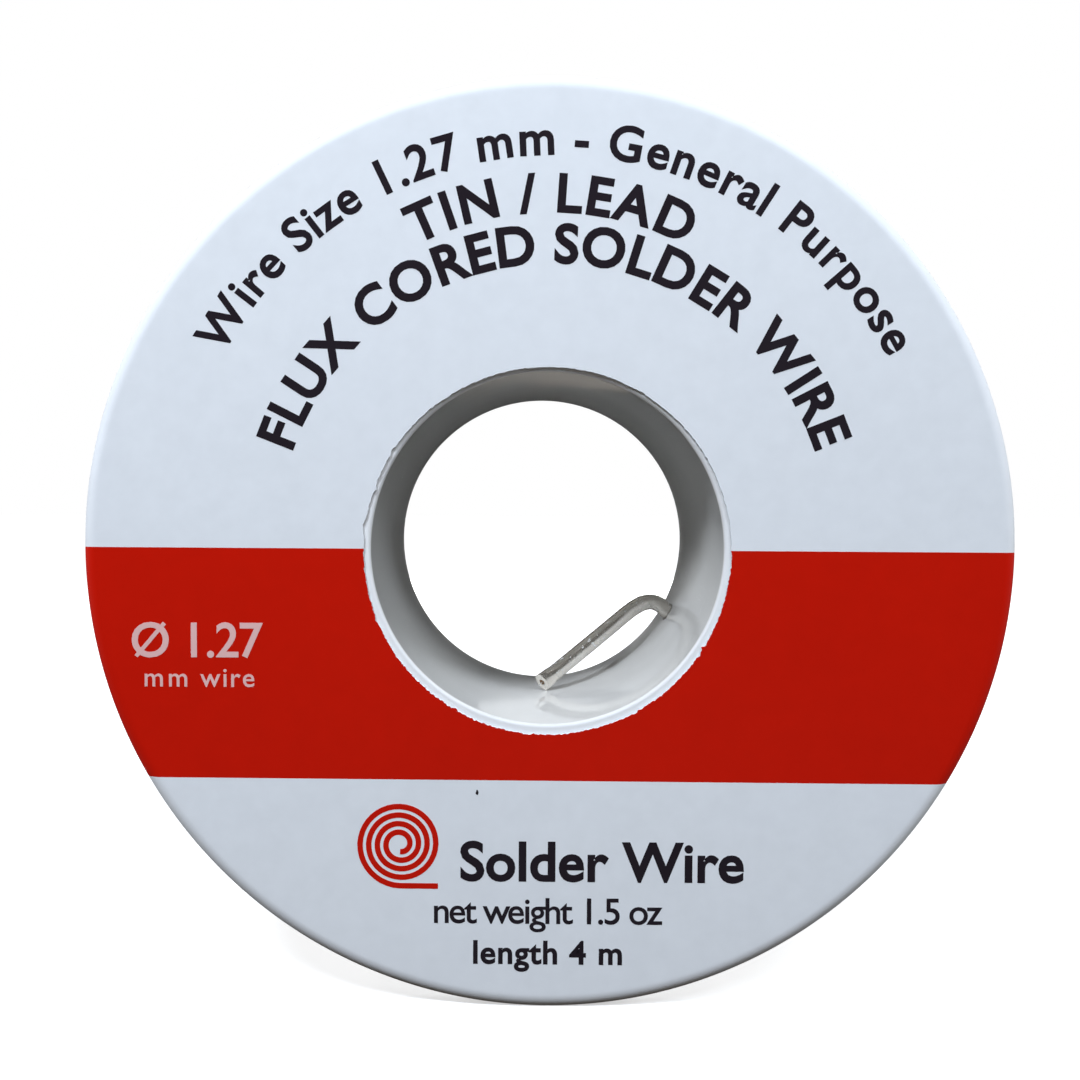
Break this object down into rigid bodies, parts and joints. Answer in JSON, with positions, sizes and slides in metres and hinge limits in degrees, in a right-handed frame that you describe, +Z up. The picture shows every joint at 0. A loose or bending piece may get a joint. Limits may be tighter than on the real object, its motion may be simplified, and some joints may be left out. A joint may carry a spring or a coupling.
{
  "type": "solder wire spool",
  "caption": "Flanged spool of rosin-core solder wire, standing on its rims, with the wire's start bent over inside its open bore and a round label on the front flange.",
  "frame": {"origin": "middle of the bore, on the spool's axis and halfway between the flanges' outer faces", "axes": "+Y along the bore, from the labelled front face to the bare rear face; +Z up, with the spool standing on its rims"},
  "size_m": [0.0634, 0.0222, 0.0634],
  "materials": {
    "spool_plastic": "glossy moulded polystyrene, light grey",
    "label": "satin coated label, cool white with a red band",
    "solder": "drawn tin-lead wire, bright with fine scratches",
    "rosin": "amber rosin flux"
  },
  "bodies": {
    "root": {"front_flange": "spool_plastic", "rear_flange": "spool_plastic", "hub": "spool_plastic", "front_label": "label", "solder_winding": "solder", "solder_tail": "solder", "rosin_core": "rosin"}
  },
  "joints": []
}
